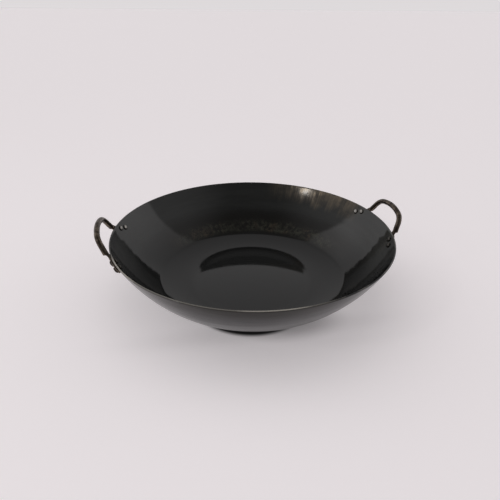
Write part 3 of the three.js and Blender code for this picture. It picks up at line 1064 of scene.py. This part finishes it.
# %% [markdown]
# The pot stands on a plain pale table. A white plane under soft lights would do, but this table is lit so
# evenly that there is no hard shadow on it. The plane therefore glows a little by itself, and less so under
# the pot and in two soft shades in front of it.

# %% Finish of the table
TABLE_GLOW = 0.335
NEAR_GLOW = 1.04 * TABLE_GLOW
NEAR_EDGE = (0.16, 0.36)
TABLE_PALE = (0.80, 0.755, 0.770, 1)
TABLE_SHADED = (0.11, 0.106, 0.106, 1)
TABLE_LIGHT = (1, 0.945, 0.965, 1)
TABLE_ROUGHNESS = 0.9
CONTACT_EDGE = (0.112, 0.128)
SHADOW_MIDDLE = Vector((-0.012, -0.052, 0))
SHADOW_EDGE = (0.083, 0.092)
SHADES = [
    {"middle": Vector((0.036, -0.118, 0)), "reach": Vector((0.075, 0.040, 1)), "darkest": 0.50},
    {"middle": Vector((-0.010, -0.130, 0)), "reach": Vector((0.220, 0.026, 1)), "darkest": 0.88},
]


def pale_table():
    material, tree, shader, place = new_finish("pale_floor")
    away = vectors(tree, "LENGTH", place)
    from_shadow = vectors(tree, "DISTANCE", place, SHADOW_MIDDLE)
    clear = maths(tree, "MINIMUM", ramp(tree, away, *CONTACT_EDGE), ramp(tree, from_shadow, *SHADOW_EDGE))
    glow = product(tree, clear, ramp(tree, away, *NEAR_EDGE, NEAR_GLOW, TABLE_GLOW))
    for shade in SHADES:
        aside = vectors(tree, "DIVIDE", vectors(tree, "SUBTRACT", place, shade["middle"]), shade["reach"])
        held = ramp(tree, vectors(tree, "LENGTH", aside), 0.3, 1.2, shade["darkest"], 1)
        glow = product(tree, glow, held)
    fill(tree, shader, {
        "Base Color": blend(tree, clear, TABLE_SHADED, TABLE_PALE),
        "Roughness": TABLE_ROUGHNESS,
        "Emission Color": TABLE_LIGHT,
        "Emission Strength": glow,
    })
    return material


table_finish = pale_table()
count_nodes("table", table_finish.node_tree)

# %% [markdown]
# The table itself is one square. It reaches so far that its edge lies at the horizon, where a curved
# backdrop would stand in a studio. It belongs to the stage and not to the pot.

# %% Floor
FLOOR_REACH = 60.0


def square_floor(finish):
    end = FLOOR_REACH
    mesh = bpy.data.meshes.new("floor")
    mesh.from_pydata([(-end, -end, 0), (end, -end, 0), (end, end, 0), (-end, end, 0)], [], [(0, 1, 2, 3)])
    mesh.materials.append(finish)
    floor = bpy.data.objects.new("floor", mesh)
    scene.collection.objects.link(floor)
    return floor


floor = square_floor(table_finish)
print("%s: %.0f m square" % (floor.name, 2 * FLOOR_REACH))

# %% [markdown]
# What is seen inside a glossy bowl is mostly the room, so the room is drawn with some care. Real soft boxes
# could be modelled, but a few smooth steps in the world's own shader do the same with less noise. The room
# is bright behind the pot and at both sides, and dim behind the camera. The edge between the two leans a
# little at each side.

# %% Glow of the room
AWAY = Vector((math.sin(math.radians(10.6)), math.cos(math.radians(10.6)), 0))
RIGHT = Vector((AWAY.y, -AWAY.x, 0))
BACK_GLOW = 0.42
SIDE_GLOW = 0.95
ROOM_GLOW = 0.135
ROOM_SIDE_GLOW = 0.44
LEFT_LOW, LEFT_HIGH = 0.93, 1.26
EDGE_BACK = 0.18
EDGE_SOFT = 0.04
LEFT_LEVEL, LEFT_SLANT = 0.58, 0.45
RIGHT_LEVEL, RIGHT_SLANT = 0.72, -0.33


def edge_lean(tree, across, up):
    """How far the edge between bright and dim moves, as it leans at the left and at the right."""
    below_left = maths(tree, "SUBTRACT", LEFT_LEVEL, up)
    below_right = maths(tree, "SUBTRACT", RIGHT_LEVEL, up)
    on_left = product(tree, ramp(tree, across, -0.75, -0.45, 1, 0), below_left, LEFT_SLANT)
    on_right = product(tree, ramp(tree, across, 0.45, 0.75), below_right, RIGHT_SLANT)
    return maths(tree, "ADD", on_left, on_right)


def room_glow(tree):
    """How bright the room is in each direction."""
    direction = node(tree, "ShaderNodeTexCoord").outputs["Generated"]
    back = vectors(tree, "DOT_PRODUCT", direction, AWAY)
    across = vectors(tree, "DOT_PRODUCT", direction, RIGHT)
    aside = maths(tree, "ABSOLUTE", across)
    up = node(tree, "ShaderNodeSeparateXYZ", {0: direction}).outputs["Z"]
    on_left = ramp(tree, across, -0.8, -0.4, 1, 0)
    boost = mix(tree, on_left, 1.0, ramp(tree, up, 0.2, 0.55, LEFT_LOW, LEFT_HIGH))
    bright = product(tree, ramp(tree, aside, 0.45, 0.95, BACK_GLOW, SIDE_GLOW), boost)
    dim = ramp(tree, aside, 0.25, 0.9, ROOM_GLOW, ROOM_SIDE_GLOW)
    edge = maths(tree, "SUBTRACT", back, edge_lean(tree, across, up))
    return mix(tree, ramp(tree, edge, EDGE_BACK - EDGE_SOFT, EDGE_BACK + EDGE_SOFT), dim, bright)


# %% [markdown]
# The camera sees a plain pale backdrop instead of the room, because only reflections need its two halves. A
# modelled backdrop could hide them too, but it would show in the bowl. A Light Path node tells the two kinds
# of rays apart, and only in the world, so that no finish depends on the camera.

# %% World
ROOM_LIGHT = (1, 0.98, 0.985, 1)
BACKDROP = (1, 0.96, 0.975, 1)
BACKDROP_GLOW = 0.73


def studio_world():
    world = bpy.data.worlds.new("studio")
    world.use_nodes = True
    tree = world.node_tree
    tree.nodes.clear()
    room = node(tree, "ShaderNodeBackground", {"Color": ROOM_LIGHT, "Strength": room_glow(tree)})
    plain = node(tree, "ShaderNodeBackground", {"Color": BACKDROP, "Strength": BACKDROP_GLOW})
    seen = node(tree, "ShaderNodeLightPath").outputs["Is Camera Ray"]
    mixed = node(tree, "ShaderNodeMixShader", {0: seen, 1: room, 2: plain})
    node(tree, "ShaderNodeOutputWorld", {"Surface": mixed})
    return world


scene.world = studio_world()
count_nodes("world", scene.world.node_tree)

# %% [markdown]
# Two lights add what the room lacks. A broad sun that no reflection shows stands for the ceiling, and one
# small round lamp makes the highlight below the rim. A brighter world could do the ceiling's work, but it
# would wash out the dim half that the bowl reflects.

# %% Lights
def add_light(name, kind, direction, distance, **settings):
    """A light in a direction from the pot, aimed at it."""
    data = bpy.data.lights.new(name, kind)
    for setting, value in settings.items():
        setattr(data, setting, value)
    light = bpy.data.objects.new(name, data)
    light.location = distance * Vector(direction).normalized()
    light.rotation_euler = (-light.location).to_track_quat("-Z", "Y").to_euler()
    scene.collection.objects.link(light)
    return light


ceiling = add_light("ceiling", "SUN", (-0.25, 0.3, 0.9), 3.0, energy=0.55, angle=math.radians(80))
ceiling.visible_glossy = False
lamp = add_light("lamp", "AREA", (-0.742, -0.315, 0.592), 1.4925, energy=1.05, shape="DISK", size=0.18)
scene.view_settings.view_transform = "Standard"
print("lights:", ceiling.name, lamp.name)
